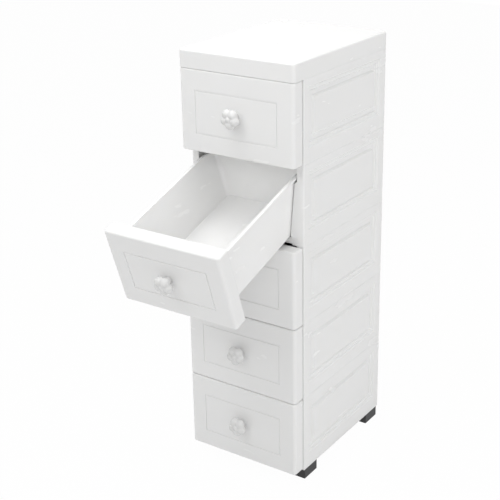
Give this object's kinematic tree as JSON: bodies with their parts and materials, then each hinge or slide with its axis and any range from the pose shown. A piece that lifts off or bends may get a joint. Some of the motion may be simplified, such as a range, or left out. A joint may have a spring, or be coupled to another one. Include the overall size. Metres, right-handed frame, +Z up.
{
  "type": "drawer tower",
  "caption": "Free-standing moulded plastic drawer tower on block feet, with panelled sides, flower knobs and drawers that slide out and tip forward.",
  "frame": {"origin": "on the floor, at the middle of the rectangle that the four feet stand on", "axes": "+Z up, +Y towards the back panels so that the drawers open towards -Y, +X to the right seen from the front"},
  "size_m": [0.3, 0.6862, 1.011],
  "materials": {
    "white_plastic": "white moulded polypropylene, satin to glossy",
    "black_feet": "black moulded plastic, satin",
    "glide_plastic": "natural acetal, satin",
    "screw_steel": "zinc-plated steel"
  },
  "bodies": {
    "case": {"lid": "white_plastic", "side_panel_left_1": "white_plastic", "side_panel_right_1": "white_plastic", "back_panel_1": "white_plastic", "side_panel_left_2": "white_plastic", "side_panel_right_2": "white_plastic", "back_panel_2": "white_plastic", "side_panel_left_3": "white_plastic", "side_panel_right_3": "white_plastic", "back_panel_3": "white_plastic", "side_panel_left_4": "white_plastic", "side_panel_right_4": "white_plastic", "back_panel_4": "white_plastic", "side_panel_left_5": "white_plastic", "side_panel_right_5": "white_plastic", "back_panel_5": "white_plastic", "shelf_1": "white_plastic", "shelf_2": "white_plastic", "shelf_3": "white_plastic", "shelf_4": "white_plastic", "base": "white_plastic", "foot_front_left": "black_feet", "foot_front_right": "black_feet", "foot_rear_left": "black_feet", "foot_rear_right": "black_feet"},
    "glides_1": {"tipping_glides_1": "glide_plastic"},
    "drawer_1": {"drawer_tub_1": "white_plastic", "drawer_cover_1": "white_plastic", "knob_1": "white_plastic", "knob_screw_1": "screw_steel"},
    "glides_2": {"tipping_glides_2": "glide_plastic"},
    "drawer_2": {"drawer_tub_2": "white_plastic", "drawer_cover_2": "white_plastic", "knob_2": "white_plastic", "knob_screw_2": "screw_steel"},
    "glides_3": {"tipping_glides_3": "glide_plastic"},
    "drawer_3": {"drawer_tub_3": "white_plastic", "drawer_cover_3": "white_plastic", "knob_3": "white_plastic", "knob_screw_3": "screw_steel"},
    "glides_4": {"tipping_glides_4": "glide_plastic"},
    "drawer_4": {"drawer_tub_4": "white_plastic", "drawer_cover_4": "white_plastic", "knob_4": "white_plastic", "knob_screw_4": "screw_steel"},
    "glides_5": {"tipping_glides_5": "glide_plastic"},
    "drawer_5": {"drawer_tub_5": "white_plastic", "drawer_cover_5": "white_plastic", "knob_5": "white_plastic", "knob_screw_5": "screw_steel"}
  },
  "joints": [
    {"name": "drawer_1_slide", "type": "slide", "parent": "glides_1", "child": "drawer_1", "axis": [0, -1, 0], "range_m": [0, 0.241]},
    {"name": "drawer_1_tip", "type": "hinge", "parent": "case", "child": "glides_1", "pos_m": [0, -0.146, 0.8035], "axis": [1, 0, 0], "range_deg": [0, 18]},
    {"name": "drawer_2_slide", "type": "slide", "parent": "glides_2", "child": "drawer_2", "axis": [0, -0.9511, -0.309], "range_m": [-0.241, 0]},
    {"name": "drawer_2_tip", "type": "hinge", "parent": "case", "child": "glides_2", "pos_m": [0, -0.146, 0.615], "axis": [1, 0, 0], "range_deg": [-18, 0]},
    {"name": "drawer_3_slide", "type": "slide", "parent": "glides_3", "child": "drawer_3", "axis": [0, -1, 0], "range_m": [0, 0.04]},
    {"name": "drawer_3_tip", "type": "hinge", "parent": "case", "child": "glides_3", "pos_m": [0, -0.146, 0.4265], "axis": [1, 0, 0], "range_deg": [0, 2.99]},
    {"name": "drawer_4_slide", "type": "slide", "parent": "glides_4", "child": "drawer_4", "axis": [0, -1, 0], "range_m": [0, 0.241]},
    {"name": "drawer_4_tip", "type": "hinge", "parent": "case", "child": "glides_4", "pos_m": [0, -0.146, 0.238], "axis": [1, 0, 0], "range_deg": [0, 18]},
    {"name": "drawer_5_slide", "type": "slide", "parent": "glides_5", "child": "drawer_5", "axis": [0, -1, 0], "range_m": [0, 0.241]},
    {"name": "drawer_5_tip", "type": "hinge", "parent": "case", "child": "glides_5", "pos_m": [0, -0.146, 0.0495], "axis": [1, 0, 0], "range_deg": [0, 18]}
  ],
  "couplings": [
    {"joint": "drawer_1_tip", "follows": "drawer_1_slide", "rad_per_m": 1.3035},
    {"joint": "drawer_2_tip", "follows": "drawer_2_slide", "rad_per_m": 1.3035},
    {"joint": "drawer_3_tip", "follows": "drawer_3_slide", "rad_per_m": 1.3035},
    {"joint": "drawer_4_tip", "follows": "drawer_4_slide", "rad_per_m": 1.3035},
    {"joint": "drawer_5_tip", "follows": "drawer_5_slide", "rad_per_m": 1.3035}
  ]
}
